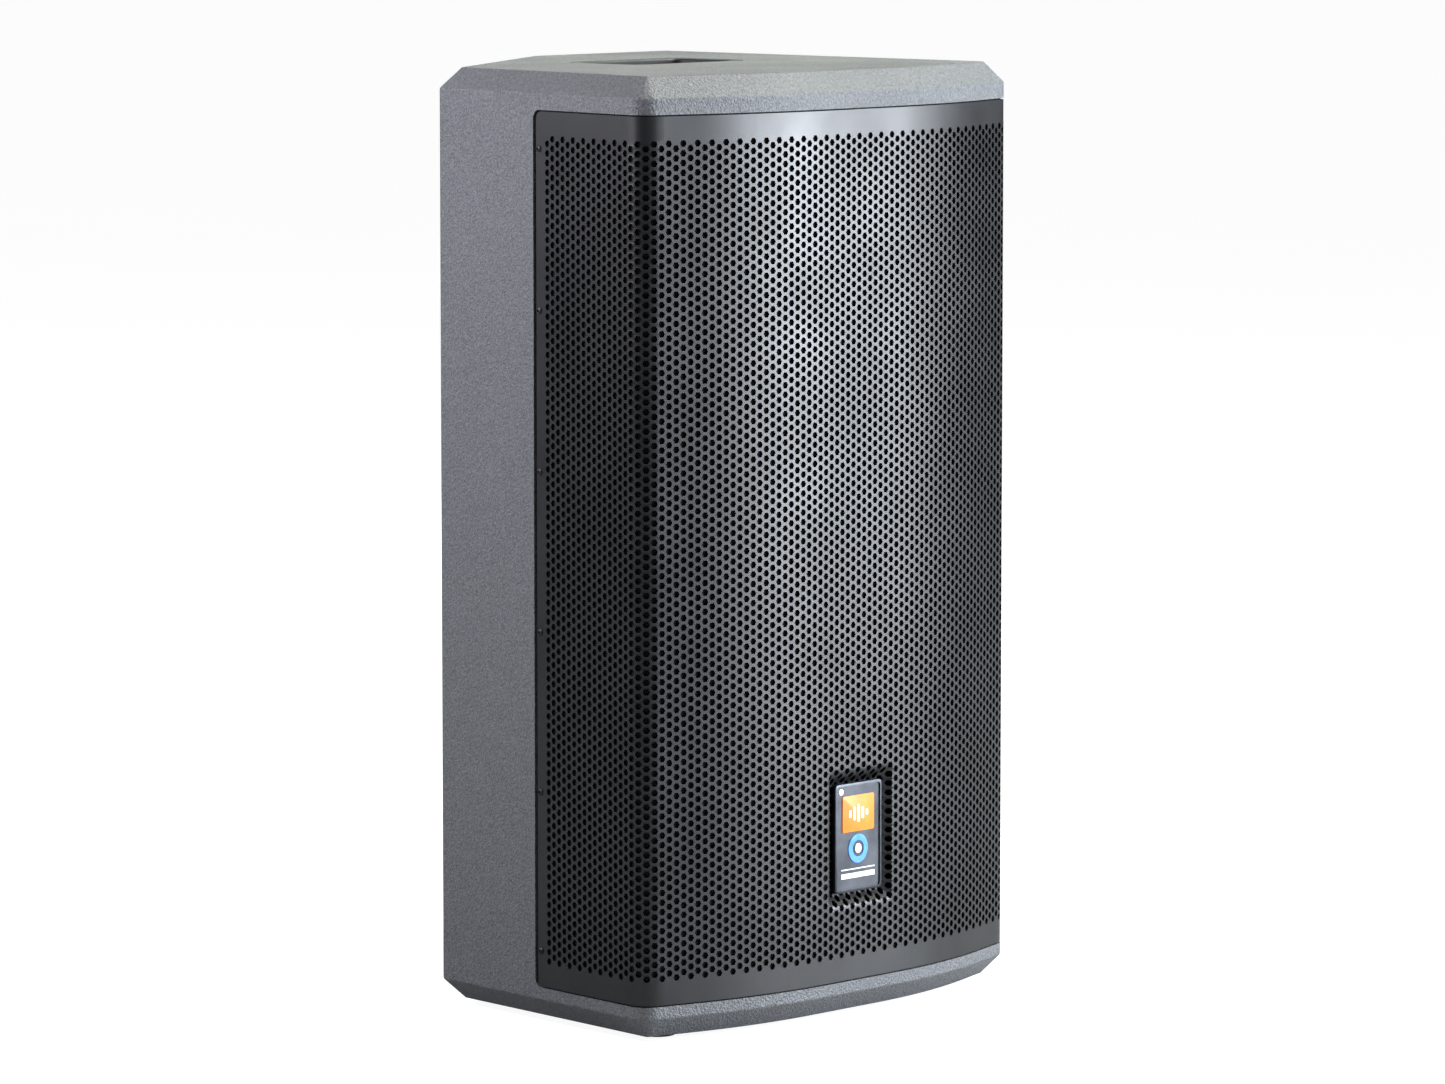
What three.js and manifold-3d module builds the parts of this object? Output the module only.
// Powered two-way loudspeaker cabinet, millimetres, +Z up, the listener stands on the -Y side.
// Drawn with y = 0 on the middle of the grille and z = 0 under the base, then moved to the origin.
import * as THREE from 'three';
import { mergeVertices } from 'three/addons/utils/BufferGeometryUtils.js';
import Module from 'manifold-3d';

const wasm = await Module();
wasm.setup();

// ---- driving dimensions ----------------------------------------------------
const halfWidth = 185.3;
const depth = 350;
const height = 634;
const frontSagitta = 28.64;       // how far the front corners lie behind the middle
const bendX = 88.8;               // virtual vertex of the front bend
const bendRadius = 378;
const cornerRadius = 15;
const sideBack = [-153.6, 243.3]; // where the left side meets the monitor wall
const backLeft = [31.5, 350];     // where the monitor wall meets the back
const chamfer = 14;
const baseSeam = 22.1;            // height of the joint above the base plate
const lidSeam = 24.9;             // distance of the joint under the top plate from the top
const plateThickness = 18;
const wall = 15;
const gap = 0.3;

const sheet = 1.5;                // grille steel
const foamThickness = 3;
const rebate = sheet + foamThickness + 2 * gap;
const grilleBack = 138.5;
const badge = { width: 47.5, height: 74, z: 119.1, pocket: 6, margin: 7.5, face: 1.6 };

const baffleFront = 45;
const baffle = 15;
const woofer = { z: 226, flange: 156, cutOut: 142 };
const horn = { z: 500, width: 290, height: 190 };
const port = { x: 108, z: 58, bore: 27, outer: 30, length: 105 };

const handle = { x: 20.5, y: 205.5, width: 100, length: 55, depth: 60 };
const grip = { behind: 9, width: 20, tall: 18 };   // bar along the rear half of the cup
const pole = { x: 10, y: 190, bore: 18.1, outer: 21, height: 85, flange: 35 };
const foot = { radius: 14, height: 5 };

const amp = { x: 108, z: 320, width: 108, height: 380, floor: 326, lip: 10 };
const panelRow = { jacks: 266, knobs: 229, lamps: 201, power: 160 };

// ---- helpers -----------------------------------------------------------------
function solid(geometry) {
  const bare = geometry.index ? geometry.toNonIndexed() : geometry;
  bare.deleteAttribute('normal');
  bare.deleteAttribute('uv');
  const merged = mergeVertices(bare, 1e-4);
  return new wasm.Manifold(new wasm.Mesh({
    numProp: 3,
    vertProperties: Float32Array.from(merged.attributes.position.array),
    triVerts: Uint32Array.from(merged.index.array),
  }));
}

function box(x0, x1, y0, y1, z0, z1) {
  const shape = new THREE.BoxGeometry(x1 - x0, y1 - y0, z1 - z0);
  return solid(shape.translate((x0 + x1) / 2, (y0 + y1) / 2, (z0 + z1) / 2));
}

function outlineShape(points) {
  return new THREE.Shape(points.map(([u, v]) => new THREE.Vector2(u, v)));
}

// Upright prism over a plan outline.
function prism(points, z0, z1) {
  const settings = { depth: z1 - z0, bevelEnabled: false, curveSegments: 4 };
  const shape = points instanceof THREE.Shape ? points : outlineShape(points);
  return solid(new THREE.ExtrudeGeometry(shape, settings).translate(0, 0, z0));
}

// Prism over an (x, z) outline, running from y0 back to y1.
function slab(shape, y0, y1) {
  const settings = { depth: y1 - y0, bevelEnabled: false, curveSegments: 4 };
  return solid(new THREE.ExtrudeGeometry(shape, settings).rotateX(Math.PI / 2).translate(0, y1, 0));
}

// Prism over a (y, z) outline, running from x0 to x1.
function crossBar(shape, x0, x1) {
  const settings = { depth: x1 - x0, bevelEnabled: false, curveSegments: 4 };
  const body = new THREE.ExtrudeGeometry(shape, settings);
  return solid(body.rotateX(Math.PI / 2).rotateZ(Math.PI / 2).translate(x0, 0, 0));
}

function roundedRect(u, v, width, tall, radius) {
  const shape = new THREE.Shape();
  const [a, b, c, d] = [u - width / 2, u + width / 2, v - tall / 2, v + tall / 2];
  shape.moveTo(a + radius, c);
  shape.lineTo(b - radius, c);
  shape.absarc(b - radius, c + radius, radius, -Math.PI / 2, 0);
  shape.lineTo(b, d - radius);
  shape.absarc(b - radius, d - radius, radius, 0, Math.PI / 2);
  shape.lineTo(a + radius, d);
  shape.absarc(a + radius, d - radius, radius, Math.PI / 2, Math.PI);
  shape.lineTo(a, c + radius);
  shape.absarc(a + radius, c + radius, radius, Math.PI, Math.PI * 1.5);
  return shape;
}

function signedArea(points) {
  return points.reduce((sum, [u, v], i) => {
    const [s, t] = points[(i + 1) % points.length];
    return sum + u * t - s * v;
  }, 0);
}

// Turned part around the Y axis through (x, z); the profile is a list of [radius, y].
function turned(profile, x, z, segments = 26) {
  const ordered = signedArea(profile) < 0 ? [...profile].reverse() : [...profile];
  const onAxis = ordered.some(([r]) => r === 0);
  const start = onAxis ? ordered.findIndex(([r], i) => r === 0 && ordered.at(i - 1)[0] === 0) : 0;
  const loop = [...ordered.slice(start), ...ordered.slice(0, start)];
  const closed = onAxis ? loop : [...loop, loop[0]];
  const shape = new THREE.LatheGeometry(closed.map(([r, y]) => new THREE.Vector2(r, y)), segments);
  return solid(shape.translate(x, 0, z));
}

// Turned part around the Z axis through (x, y); the profile is a list of [radius, z].
function turnedUp(profile, x, y, segments = 26) {
  return turned(profile, 0, 0, segments).rotate([90, 0, 0]).translate([x, y, 0]);
}

function rod(radius, y0, y1, x, z, segments = 20) {
  return turned([[0, y0], [radius, y0], [radius, y1], [0, y1]], x, z, segments);
}

function ringY(inner, outer, y0, y1, x, z, segments = 26) {
  return turned([[inner, y0], [outer, y0], [outer, y1], [inner, y1]], x, z, segments);
}

// Closed band between a centre line of [radius, y] points and its copy moved back.
function shellProfile(line, thickness) {
  return [...line, ...line.map(([r, y]) => [r, y + thickness]).reverse()];
}

// Rectangular flare along Y; widths are half sizes at evenly spaced stations.
function flare(halfX, halfZ, y0, y1, x, z) {
  const steps = halfX.length - 1;
  const shape = new THREE.BoxGeometry(2, y1 - y0, 2, 1, steps, 1);
  const place = shape.attributes.position;
  for (let i = 0; i < place.count; i += 1) {
    const station = Math.round((place.getY(i) / (y1 - y0) + 0.5) * steps);
    place.setX(i, place.getX(i) * halfX[station]);
    place.setZ(i, place.getZ(i) * halfZ[station]);
  }
  return solid(shape.translate(x, (y0 + y1) / 2, z));
}

const group = new THREE.Group();
group.name = 'pa_speaker_cabinet';

function add(name, body, colour, roughness, metalness = 0) {
  const mesh = body.getMesh();
  const geometry = new THREE.BufferGeometry();
  const place = Float32Array.from({ length: mesh.vertProperties.length / mesh.numProp * 3 }, (_, i) =>
    mesh.vertProperties[Math.floor(i / 3) * mesh.numProp + (i % 3)]);
  geometry.setAttribute('position', new THREE.BufferAttribute(place, 3));
  geometry.setIndex(new THREE.BufferAttribute(Uint32Array.from(mesh.triVerts), 1));
  geometry.translate(...origin);
  geometry.computeVertexNormals();
  const material = new THREE.MeshStandardMaterial({ color: colour, roughness, metalness });
  material.name = `${name}_finish`;
  const part = new THREE.Mesh(geometry, material);
  part.name = name;
  group.add(part);
}

// ---- plan of the cabinet -----------------------------------------------------
const corners = [
  [[-halfWidth, frontSagitta], cornerRadius],
  [[-bendX, 0], bendRadius],
  [[bendX, 0], bendRadius],
  [[halfWidth, frontSagitta], cornerRadius],
  [[halfWidth, depth], 0],
  [backLeft, 0],
  [sideBack, 0],
];

// Crossing of two lines, each given as a point and a direction.
function crossing([px, py], [dx, dy], [qx, qy], [ex, ey]) {
  const t = ((qx - px) * ey - (qy - py) * ex) / (dx * ey - dy * ex);
  return [px + t * dx, py + t * dy];
}

// Virtual corners of the plan after moving every side inwards.
function insetCorners(inset) {
  const sides = corners.map(([[x, y]], i) => {
    const [u, v] = corners[(i + 1) % corners.length][0];
    const length = Math.hypot(u - x, v - y);
    const along = [(u - x) / length, (v - y) / length];
    return { from: [x - along[1] * inset, y + along[0] * inset], along };
  });
  return corners.map((_, i) => {
    const before = sides.at(i - 1);
    return crossing(before.from, before.along, sides[i].from, sides[i].along);
  });
}

// Plan outline, moved inwards by the inset, with its bends and corners rounded.
function plan(inset) {
  const vertices = insetCorners(inset);
  return vertices.flatMap((vertex, i) => {
    const radius = corners[i][1] - inset;
    if (radius <= 0.5) return [vertex];
    const before = new THREE.Vector2(...vertices.at(i - 1)).sub(new THREE.Vector2(...vertex)).normalize();
    const after = new THREE.Vector2(...vertices[(i + 1) % vertices.length])
      .sub(new THREE.Vector2(...vertex)).normalize();
    const turn = Math.PI - Math.acos(before.dot(after));
    const reach = radius * Math.tan(turn / 2);
    const steps = radius > 100 ? 7 : 5;
    const middle = new THREE.Vector2(...vertex)
      .addScaledVector(before.clone().add(after).normalize(), radius / Math.cos(turn / 2));
    const start = new THREE.Vector2(...vertex).addScaledVector(before, reach).sub(middle);
    return Array.from({ length: steps + 1 }, (_, k) => {
      const spoke = start.clone().rotateAround(new THREE.Vector2(), turn * k / steps);
      return [middle.x + spoke.x, middle.y + spoke.y];
    });
  });
}

const leftmost = Math.min(...plan(0).map(([x]) => x));
const origin = [-(leftmost + halfWidth) / 2, -depth / 2, foot.height];
const inner = insetCorners(wall);

// ---- plates -----------------------------------------------------------------
// Plate lying on z = 0 with its lower edge chamfered and a shallow rebate above, as tall as the seam.
function endPlate(seam) {
  const settings = {
    depth: 2 * (seam - chamfer), bevelEnabled: true, bevelSegments: 1,
    bevelThickness: chamfer, bevelSize: chamfer, bevelOffset: -chamfer,
  };
  const block = solid(new THREE.ExtrudeGeometry(outlineShape(plan(0)), settings).translate(0, 0, chamfer));
  return block
    .intersect(box(-300, 300, -50, 400, -1, seam))
    .subtract(prism(plan(wall), plateThickness, seam + 1));
}

const plateColour = 0x34373a;
const base = endPlate(baseSeam)
  .subtract(turnedUp([[0, -1], [pole.flange + gap, -1], [pole.flange + gap, 3.2], [0, 3.2]], pole.x, pole.y))
  .subtract(turnedUp([[0, -1], [pole.outer + gap, -1], [pole.outer + gap, 30], [0, 30]], pole.x, pole.y));
add('bottom_panel', base, plateColour, 0.85);

const lid = endPlate(lidSeam).mirror([0, 0, 1]).translate([0, 0, height])
  .subtract(prism(roundedRect(handle.x, handle.y, handle.width + 16.6, handle.length + 16.6, 14),
    height - 3.2, height + 1))
  .subtract(prism(roundedRect(handle.x, handle.y, handle.width + 6.6, handle.length + 6.6, 10),
    height - 40, height + 1));
add('top_panel', lid, plateColour, 0.85);

// ---- upright walls ------------------------------------------------------------
const wallLow = baseSeam + gap;
const wallHigh = height - lidSeam - gap;
const rebateCut = box(-300, 300, -50, grilleBack + 2, 0, height).subtract(prism(plan(rebate), -1, height + 1));

// Wall between two plan corners, mitred to its neighbours.
function upright(first, second, startY = -1) {
  const outline = [corners[first][0], corners[second][0], inner[second], inner[first]];
  const [[x0, y0], [x1, y1]] = [corners[first][0], corners[second][0]];
  const length = Math.hypot(x1 - x0, y1 - y0);
  const slide = [(x1 - x0) / length * gap / 2, (y1 - y0) / length * gap / 2];
  const shifted = (sign) => prism(outline.map(([x, y]) => [x + sign * slide[0], y + sign * slide[1]]),
    wallLow, wallHigh);
  const panel = shifted(1).intersect(shifted(-1));
  return startY < 0 ? panel : panel.intersect(box(-300, 300, startY, 400, 0, height)).subtract(rebateCut);
}

const sideStart = 36;
add('side_left', upright(6, 0, sideStart), 0x36393c, 0.85);
add('side_monitor', upright(5, 6), 0x36393c, 0.85);
add('side_right', upright(3, 4, sideStart), 0x36393c, 0.85);

const ampHole = roundedRect(amp.x, amp.z, amp.width + 4.6, amp.height + 4.6, 6);
const ampRebate = roundedRect(amp.x, amp.z, amp.width + 2 * amp.lip + 0.6, amp.height + 2 * amp.lip + 0.6, 8);
add('back_panel', upright(4, 5)
  .subtract(slab(ampHole, depth - 30, depth + 5))
  .subtract(slab(ampRebate, depth - 2.3, depth + 5)), 0x36393c, 0.85);

// ---- baffle and brace -----------------------------------------------------------
const roomLow = plateThickness + gap;
const roomHigh = height - plateThickness - gap;
const room = prism(plan(wall + gap), roomLow, roomHigh);
let front = room.intersect(box(-300, 300, baffleFront, baffleFront + baffle, 0, height))
  .subtract(rod(woofer.cutOut, 0, 100, 0, woofer.z, 32))
  .subtract(box(-126, 126, 0, 100, horn.z - 76, horn.z + 76));
for (const side of [-1, 1]) {
  front = front.subtract(rod(port.outer + gap, 0, 100, side * port.x, port.z, 24));
}
add('front_baffle', front, 0x1c1c1d, 0.9);

const braceZ = 388;
const brace = room.intersect(box(-300, 300, baffleFront + baffle + gap, 400, braceZ, braceZ + 12))
  .subtract(box(-105, 100, 100, 215, 0, height))
  .subtract(box(amp.x - 57, 300, amp.floor - 80, 400, 0, height));
add('inner_brace', brace, 0xb08b5a, 0.8);

// ---- grille, foam and badge ------------------------------------------------------
const grilleLow = baseSeam + 1;
const grilleHigh = height - lidSeam - 1;

// Band that follows the plan between two insets, open at the back.
function wrap(outside, inside, back, z0, z1, radius) {
  const face = roundedRect(back - 250, (z0 + z1) / 2, 500, z1 - z0, radius);
  return prism(plan(outside), z0, z1)
    .subtract(prism(plan(inside), z0 - 1, z1 + 1))
    .intersect(crossBar(face, -300, 300));
}

const pocketWide = badge.width + 2 * badge.margin;
const pocketTall = badge.height + 2 * badge.margin;
const grille = wrap(0, sheet, grilleBack, grilleLow, grilleHigh, 5)
  .add(slab(roundedRect(0, badge.z, pocketWide + 2 * sheet, pocketTall + 2 * sheet, 5), 0.4, badge.pocket + sheet))
  .subtract(slab(roundedRect(0, badge.z, pocketWide, pocketTall, 4), -5, badge.pocket));
add('grille', grille, 0x17181a, 0.45, 0.6);

const foam = wrap(sheet + gap, sheet + gap + foamThickness, grilleBack - 3, grilleLow + 4, grilleHigh - 4, 3)
  .subtract(slab(roundedRect(0, badge.z, pocketWide + 8, pocketTall + 8, 6), -5, 30));
add('grille_foam', foam, 0x0d0d0e, 0.98);

const plate = slab(roundedRect(0, badge.z, badge.width, badge.height, 3), badge.face, badge.pocket - gap)
  .subtract(slab(roundedRect(0, badge.z, badge.width - 5, badge.height - 5, 2), -5, badge.face + 1));
add('badge_plate', plate, 0x2b2d31, 0.4, 0.4);

// ---- handle, pole socket and feet ------------------------------------------------
const cupTop = height - gap;
const cupOutside = roundedRect(handle.x, handle.y, handle.width + 6, handle.length + 6, 10);
const cup = prism(cupOutside, height - handle.depth - 3, cupTop - 2.6)
  .add(prism(roundedRect(handle.x, handle.y, handle.width + 16, handle.length + 16, 14), cupTop - 2.6, cupTop))
  .subtract(prism(roundedRect(handle.x, handle.y, handle.width, handle.length, 8),
    height - handle.depth, height + 1));
add('handle_cup', cup, 0x1d1e20, 0.6);

const gripShape = roundedRect(handle.y + grip.behind, height - 4 - grip.tall / 2, grip.width, grip.tall, 7);
add('handle_grip', crossBar(gripShape, handle.x - handle.width / 2 + gap, handle.x + handle.width / 2 - gap),
  0x151617, 0.7);

const socketProfile = [
  [pole.bore, gap], [pole.flange, gap], [pole.flange, 3], [pole.outer, 3],
  [pole.outer, pole.height + 3], [0, pole.height + 3], [0, pole.height], [pole.bore, pole.height],
];
add('pole_socket', turnedUp(socketProfile, pole.x, pole.y, 28), 0x1b1c1e, 0.5, 0.2);

const footPlaces = [[-135, 62], [145, 62], [145, 315], [-112, 220]];
footPlaces.forEach(([x, y], i) => {
  const profile = [
    [0, -foot.height], [foot.radius - 2, -foot.height], [foot.radius, -foot.height + 1.5],
    [foot.radius, -0.1], [0, -0.1],
  ];
  add(`base_foot_${i + 1}`, turnedUp(profile, x, y, 20), 0x101011, 0.9);
});

// Rubber runners on the slanted wall, for lying on the floor as a stage monitor.
const slant = Math.atan2(backLeft[1] - sideBack[1], backLeft[0] - sideBack[0]);
const slantMiddle = [(backLeft[0] + sideBack[0]) / 2, (backLeft[1] + sideBack[1]) / 2];
['lower', 'upper'].forEach((end, i) => {
  const z = i === 0 ? 70 : height - 70;
  const runner = slab(roundedRect(0, 0, 150, 22, 6), 0.1, 4.1)
    .rotate([0, 0, slant * 180 / Math.PI])
    .translate([slantMiddle[0], slantMiddle[1], z]);
  add(`monitor_runner_${end}`, runner, 0x101011, 0.9);
});

// ---- woofer ------------------------------------------------------------------------
const flangeFront = baffleFront - 5.3;
const motorFront = 130.3;
let basket = turned([
  [139.8, flangeFront], [woofer.flange, flangeFront], [woofer.flange, baffleFront - gap],
  [141, baffleFront - gap], [141, 62], [78, 124], [78, 130], [45, 130], [45, 126],
  [73, 126], [73, 122], [138, 59], [138, 48], [139.8, 48],
], 0, woofer.z, 32);
for (let i = 0; i < 6; i += 1) {
  const window = box(-24, 24, 68, 116, 60, 160).rotate([0, 30 + i * 60, 0]).translate([0, 0, woofer.z]);
  basket = basket.subtract(window);
}
add('woofer_basket', basket, 0x1a1b1c, 0.6, 0.5);

add('woofer_magnet', turned([
  [0, motorFront], [36.4, motorFront], [36.4, 168], [40.8, 168], [40.8, motorFront], [66, motorFront],
  [66, 138], [82, 138], [82, 160], [74, 166], [74, 178], [68, 182], [0, 182],
], 0, woofer.z), 0x3a3c3f, 0.4, 0.8);

const surroundLine = Array.from({ length: 7 }, (_, i) => {
  const angle = Math.PI * i / 6;
  return [131.2 - 6.6 * Math.cos(angle), 49 - 6.6 * Math.sin(angle)];
});
const surround = shellProfile([[122.4, 49], ...surroundLine, [139.5, 49]].filter(([r], i, list) =>
  i === 0 || r - list[i - 1][0] > 0.05), 1);
add('woofer_surround', turned(surround.map(([r, y]) => [r, y - 2]), 0, woofer.z, 32), 0x141414, 0.85);

add('woofer_cone', turned([
  [39, 111], [70, 83], [100, 62], [117, 49.5], [122, 47.2], [122, 49], [117.5, 51.2],
  [100.5, 63.8], [70.5, 85], [40, 112.6], [39, 112.6],
], 0, woofer.z, 32), 0x1f2021, 0.9);

const capLine = Array.from({ length: 5 }, (_, i) => [52 * i / 4, 92 + 6 * (i / 4) ** 2]);
add('woofer_dust_cap', turned([
  ...capLine, [52, 98.6], ...capLine.slice(0, 4).reverse().map(([r, y]) => [r, y + 0.7]),
], 0, woofer.z), 0x161617, 0.8);

add('woofer_voice_coil', ringY(37.9, 38.7, 108, 156, 0, woofer.z), 0xa8672f, 0.4, 0.7);

const spiderLine = Array.from({ length: 9 }, (_, i) =>
  [39.1 + 33.6 * i / 8, 117 + 1.6 * Math.sin(i * Math.PI / 2)]);
add('woofer_spider', turned(shellProfile(spiderLine, 0.8), 0, woofer.z), 0xb7935a, 0.9);

// ---- horn and compression driver -----------------------------------------------------
const hornFront = baffleFront - 5;
const throatY = 150;
const mouthX = [122, 92, 68, 48, 32, 20];
const mouthZ = [72, 58, 44, 32, 23, 17];
const grow = (sizes) => sizes.map((half) => half + 3);
const hornBody = box(-horn.width / 2, horn.width / 2, hornFront, baffleFront - gap,
  horn.z - horn.height / 2, horn.z + horn.height / 2)
  .add(flare(grow(mouthX), grow(mouthZ), hornFront + 2, throatY, 0, horn.z))
  .add(rod(46, throatY - 6, throatY, 0, horn.z, 24))
  .subtract(flare(mouthX, mouthZ, hornFront - 0.01, throatY + 0.01, 0, horn.z));
add('horn', hornBody, 0x161718, 0.5);

add('driver_body', turned([
  [17, throatY + gap], [46, throatY + gap], [46, 158], [52, 160], [52, 196], [37, 196], [37, 188],
  [14, 184],
], 0, horn.z, 24), 0x2c2e30, 0.4, 0.7);
add('driver_cap', turned([
  [0, 204], [33, 204], [33, 196 + gap], [46, 196 + gap], [46, 204], [40, 209], [0, 209],
], 0, horn.z, 24), 0x1b1c1d, 0.5, 0.4);
const domeLine = Array.from({ length: 5 }, (_, i) => [30 * i / 4, 199.4 - 6 * (i / 4) ** 2]);
add('driver_diaphragm', turned([
  ...domeLine, [35, 193.4], [35, 194], [30, 194], ...domeLine.slice(0, 4).reverse().map(([r, y]) => [r, y + 0.6]),
], 0, horn.z, 24), 0xb9bcc0, 0.3, 0.9);

// ---- ports -----------------------------------------------------------------------------
for (const [name, side] of [['left', -1], ['right', 1]]) {
  const tube = turned([
    [port.bore + 4, baffleFront - 2.3], [port.outer + 5, baffleFront - 2.3], [port.outer + 5, baffleFront - gap],
    [port.outer, baffleFront - gap], [port.outer, baffleFront + port.length],
    [port.bore, baffleFront + port.length], [port.bore, baffleFront + 6],
  ], side * port.x, port.z, 24);
  add(`port_tube_${name}`, tube, 0x141415, 0.6);
}

// ---- amplifier module ---------------------------------------------------------------------
const floorBack = amp.floor - 1.8;
const sinkLow = 318;
const sinkHigh = 496;
const heart = { x0: amp.x - amp.width / 2, x1: amp.x + amp.width / 2 };
const places = {
  combo: [amp.x - 26, panelRow.jacks],
  link: [amp.x + 26, panelRow.jacks],
  knob: [amp.x, panelRow.knobs],
  input: [amp.x - 28, panelRow.knobs],
  boost: [amp.x + 28, panelRow.knobs],
  power: [amp.x - 12, panelRow.lamps],
  signal: [amp.x + 12, panelRow.lamps],
  rocker: [amp.x - 34, panelRow.power],
  inlet: [amp.x + 24, panelRow.power],
};

const trayOutside = roundedRect(amp.x, amp.z, amp.width + 4, amp.height + 4, 5);
let tray = slab(trayOutside, floorBack, depth - 2)
  .add(slab(roundedRect(amp.x, amp.z, amp.width + 2 * amp.lip, amp.height + 2 * amp.lip, 8), depth - 2, depth))
  .subtract(slab(roundedRect(amp.x, amp.z, amp.width, amp.height, 4), amp.floor, depth + 5))
  .subtract(box(heart.x0 + 6, heart.x1 - 6, 300, 340, sinkLow, sinkHigh))
  .subtract(rod(11.7, 300, 340, ...places.combo))
  .subtract(rod(11.7, 300, 340, ...places.link))
  .subtract(rod(3.4, 300, 340, ...places.knob, 20))
  .subtract(slab(roundedRect(...places.rocker, 22, 29, 1), 300, 340))
  .subtract(slab(roundedRect(...places.inlet, 28.6, 23.6, 2), 300, 340));
for (const name of ['input', 'boost']) {
  tray = tray.subtract(rod(3.8, 300, 340, ...places[name], 20));
}
for (const name of ['power', 'signal']) {
  tray = tray.subtract(rod(2.3, 300, 340, ...places[name], 16));
}
add('amp_tray', tray, 0x222426, 0.55, 0.5);

let sink = box(heart.x0 + 2, heart.x1 - 2, floorBack - 6.3, floorBack - gap, sinkLow - 4, sinkHigh + 4);
for (let i = 0; i < 11; i += 1) {
  const x = amp.x + (i - 5) * 9;
  sink = sink.add(box(x - 1.1, x + 1.1, floorBack - 3, depth - 4, sinkLow + gap, sinkHigh - gap));
}
add('heatsink', sink, 0x1a1b1c, 0.45, 0.8);

const coverFront = 250;
const cover = box(heart.x0, heart.x1, coverFront, floorBack - gap, amp.z - 188, amp.z + 188)
  .subtract(box(heart.x0 + 1.5, heart.x1 - 1.5, coverFront + 1.5, 400, amp.z - 186.5, amp.z + 186.5));
add('amp_cover', cover, 0x8f9498, 0.35, 0.9);

const boardBack = 290;
let ampBoard = box(heart.x0 + 4, heart.x1 - 4, boardBack - 1.6, boardBack, 322, 492)
  .add(box(heart.x0 + 12, heart.x1 - 12, boardBack - 1, 317.5, 380, 392));
for (const [x, z] of [[-30, 345], [-30, 372], [30, 345], [30, 372]]) {
  ampBoard = ampBoard.add(rod(9, boardBack - 26, boardBack - 1, amp.x + x, z, 20));
}
ampBoard = ampBoard.add(box(amp.x - 20, amp.x + 20, boardBack - 22, boardBack - 1, 430, 470));
add('amp_board', ampBoard, 0x1f5a34, 0.6);

let supply = box(heart.x0 + 4, heart.x1 - 4, 280 - 1.6, 280, 140, 300);
for (const [x, z] of [[-32, 170], [-32, 200], [32, 170]]) {
  supply = supply.add(rod(12, 255, 279, amp.x + x, z, 20));
}
supply = supply.add(box(amp.x - 18, amp.x + 22, 254, 279, 235, 280));
add('power_board', supply, 0x244a78, 0.6);

// ---- connectors and controls ----------------------------------------------------------------
function jack(place, bore) {
  return slab(roundedRect(...place, 26, 31, 3), amp.floor + 0.1, amp.floor + 2.4)
    .add(rod(11.4, amp.floor - 24, amp.floor + 1, ...place, 28))
    .subtract(rod(bore, amp.floor - 18, amp.floor + 5, ...place, 24));
}

const latchPlace = [places.combo[0], places.combo[1] + 9];
add('combo_jack', jack(places.combo, 8.4)
  .subtract(box(latchPlace[0] - 3.3, latchPlace[0] + 3.3, amp.floor - 8, amp.floor + 5,
    latchPlace[1] - 3.4, latchPlace[1] + 2.1)), 0x1a1b1d, 0.5);
add('combo_latch', box(latchPlace[0] - 3, latchPlace[0] + 3, amp.floor - 4, amp.floor + 5,
  latchPlace[1] - 1.9, latchPlace[1] + 1.9), 0xa9adb1, 0.3, 0.9);

let link = jack(places.link, 9.2);
for (let i = 0; i < 3; i += 1) {
  const angle = Math.PI / 2 + i * Math.PI * 2 / 3;
  const pin = [places.link[0] + 4.5 * Math.cos(angle), places.link[1] + 4.5 * Math.sin(angle)];
  link = link.add(rod(1.2, amp.floor - 19, amp.floor - 5, ...pin, 12));
}
add('link_jack', link, 0x1a1b1d, 0.5);

const knobBack = amp.floor + 16;
const knob = turned([
  [0, 306], [2.9, 306], [2.9, amp.floor + 1], [12, amp.floor + 1], [11, knobBack - 1], [10, knobBack], [0, knobBack],
], ...places.knob, 28)
  .subtract(box(places.knob[0] - 0.8, places.knob[0] + 0.8, knobBack - 1, knobBack + 2,
    places.knob[1] + 3, places.knob[1] + 20));
add('volume_knob', knob, 0x2a2b2d, 0.55);

for (const name of ['input', 'boost']) {
  add(`${name}_button`, rod(3.4, amp.floor - 14, amp.floor + 5, ...places[name], 20), 0x3d3f42, 0.5);
}

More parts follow.
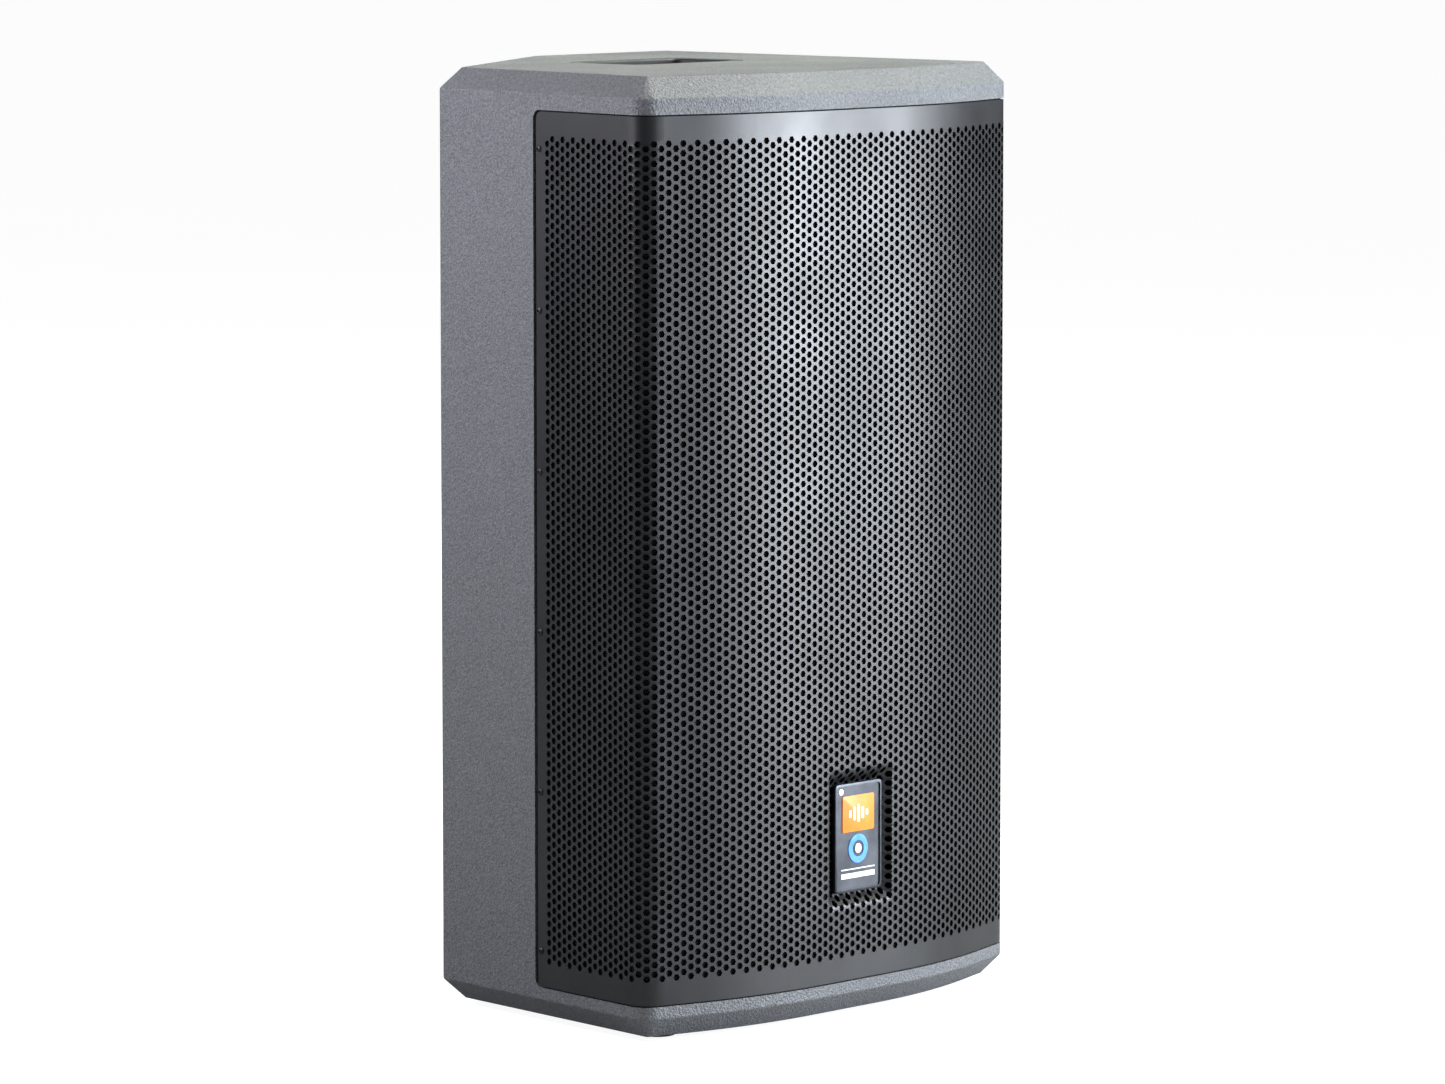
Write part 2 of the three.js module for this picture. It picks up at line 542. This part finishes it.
const lensProfile = [[0, amp.floor - 6], [1.95, amp.floor - 6], [1.95, amp.floor + 1], [1.3, amp.floor + 1.8],
  [0, amp.floor + 2]];
add('power_led', turned(lensProfile, ...places.power, 16), 0x2a6fd6, 0.3);
add('signal_led', turned(lensProfile, ...places.signal, 16), 0x35b04a, 0.3);

const [rockerX, rockerZ] = places.rocker;
add('switch_frame', slab(roundedRect(rockerX, rockerZ, 26, 33, 2), amp.floor + 0.1, amp.floor + 2)
  .add(slab(roundedRect(rockerX, rockerZ, 21.4, 28.4, 1), amp.floor - 20, amp.floor + 1))
  .subtract(box(rockerX - 7.5, rockerX + 7.5, amp.floor - 12, amp.floor + 5, rockerZ - 12, rockerZ + 12)),
  0x161718, 0.5);

const tilt = 8;
const rocker = box(-7, 7, -6, 5, -11, 11)
  .subtract(box(-8, 8, 3, 9, 0, 14).rotate([-tilt, 0, 0]))
  .rotate([tilt, 0, 0])
  .translate([rockerX, amp.floor, rockerZ]);
add('power_rocker', rocker, 0x222325, 0.45);

const [inletX, inletZ] = places.inlet;
const inlet = slab(roundedRect(inletX, inletZ, 50, 29, 4), amp.floor + 0.1, amp.floor + 3)
  .add(slab(roundedRect(inletX, inletZ, 28, 23, 2), amp.floor - 24, amp.floor + 1))
  .subtract(slab(roundedRect(inletX, inletZ, 24.6, 17, 4), amp.floor - 17, amp.floor + 5))
  .add(box(inletX - 8, inletX - 6, amp.floor - 18, amp.floor - 1, inletZ - 2, inletZ + 2))
  .add(box(inletX + 6, inletX + 8, amp.floor - 18, amp.floor - 1, inletZ - 2, inletZ + 2))
  .add(box(inletX - 1, inletX + 1, amp.floor - 18, amp.floor - 1, inletZ + 2, inletZ + 6));
add('mains_inlet', inlet, 0x141516, 0.5);

add('fuse_cap', rod(7, amp.floor + 0.3, amp.floor + 6, amp.x - 11, panelRow.power, 24)
  .subtract(box(amp.x - 16, amp.x - 6, amp.floor + 5, amp.floor + 9, panelRow.power - 0.7, panelRow.power + 0.7)),
  0x1c1d1f, 0.5);

export default group;
